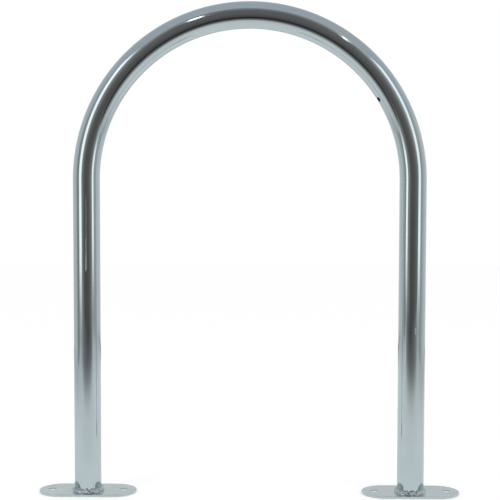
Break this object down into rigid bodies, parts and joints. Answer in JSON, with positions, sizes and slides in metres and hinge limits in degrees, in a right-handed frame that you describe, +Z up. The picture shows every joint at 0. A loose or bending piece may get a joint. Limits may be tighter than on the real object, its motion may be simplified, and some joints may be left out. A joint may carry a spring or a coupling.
{
  "type": "hoop barrier",
  "caption": "Upside-down U hoop of round zinc-plated steel tube, its legs fillet-welded to oblong foot plates with bolt holes, for guarding, parking or tethering.",
  "frame": {"origin": "on the ground, midway between the two legs, on the tube's mid plane", "axes": "+Z up, X along the hoop from the left leg to the right leg, Y through the hoop, front at -Y"},
  "size_m": [0.761, 0.08, 0.883],
  "materials": {
    "zinc_tube": "bright zinc-plated drawn tube, glossy",
    "zinc_plate": "zinc-plated rolled flat bar, satin",
    "zinc_weld": "zinc-plated weld metal, rippled"
  },
  "bodies": {
    "root": {"hoop_tube": "zinc_tube", "left_foot_plate": "zinc_plate", "right_foot_plate": "zinc_plate", "left_weld_bead": "zinc_weld", "right_weld_bead": "zinc_weld"}
  },
  "joints": []
}
